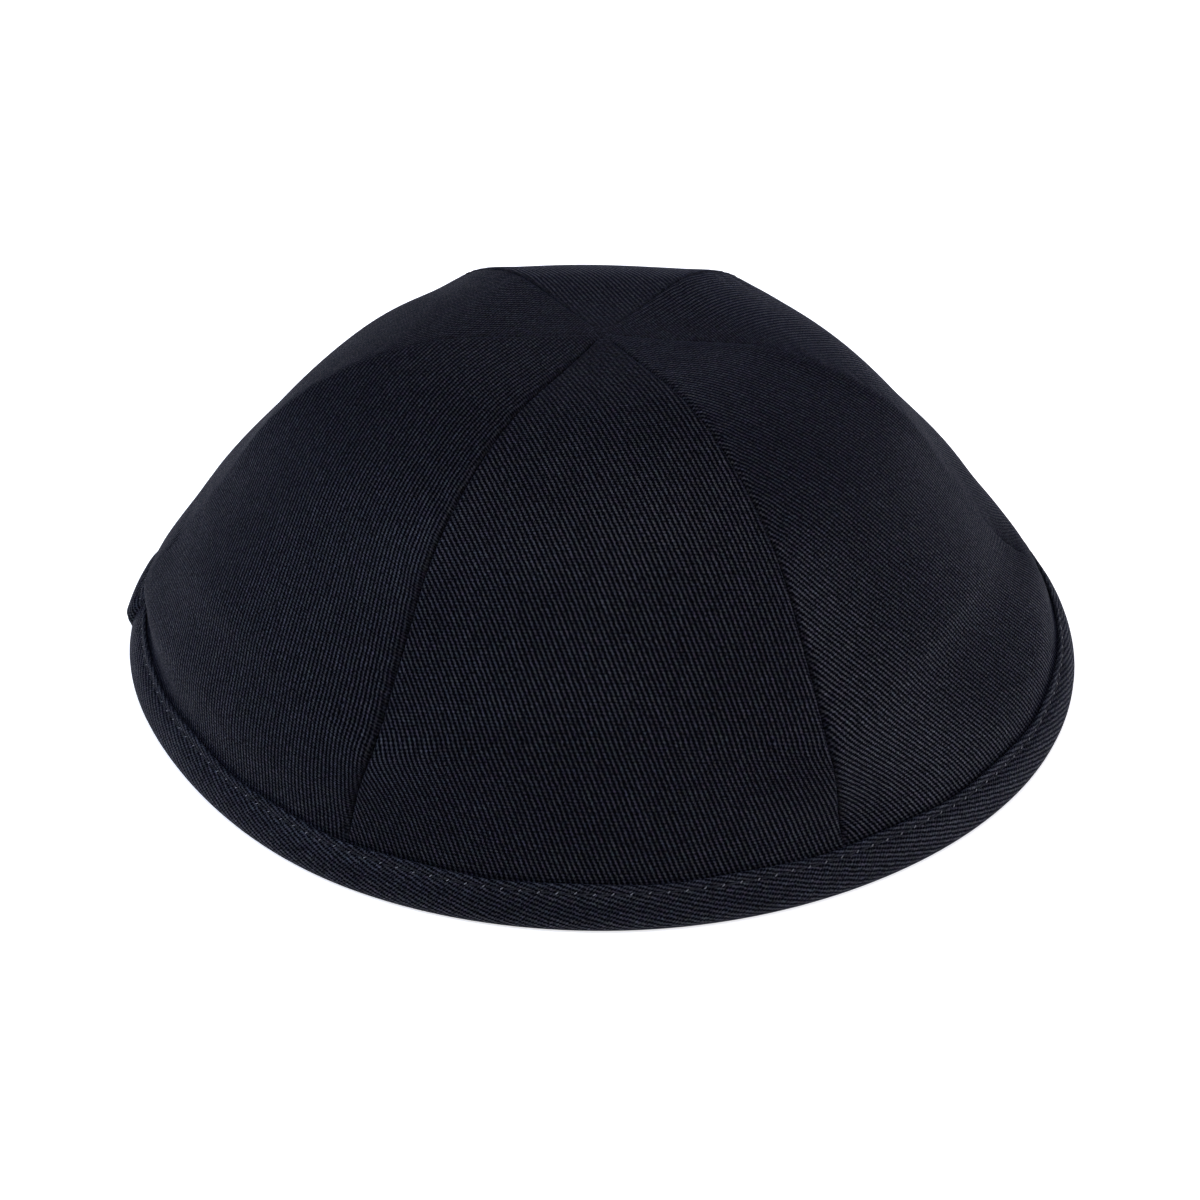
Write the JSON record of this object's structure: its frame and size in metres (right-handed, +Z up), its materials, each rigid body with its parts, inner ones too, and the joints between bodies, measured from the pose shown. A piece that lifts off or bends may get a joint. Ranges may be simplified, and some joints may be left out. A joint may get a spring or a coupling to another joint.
{
  "type": "kippah",
  "caption": "Round cloth skullcap of stitched twill gores with a folded bias tape binding round its rim, resting on the rim.",
  "frame": {"origin": "on the table, under the middle of the cap's box", "axes": "+Z up through the crown, -Y towards the middle of the front gore, +X to the wearer's left, the picture's right"},
  "size_m": [0.1566, 0.1542, 0.0578],
  "materials": {
    "twill": "dark navy-black cotton twill, matt with a soft sheen at grazing angles",
    "bias_tape": "dark navy-black cotton twill tape cut on the bias, with topstitching of like colour"
  },
  "bodies": {
    "root": {"panel_front": "twill", "panel_front_right": "twill", "panel_back_right": "twill", "panel_back": "twill", "panel_back_left": "twill", "panel_front_left": "twill", "rim_binding": "bias_tape"}
  },
  "joints": []
}
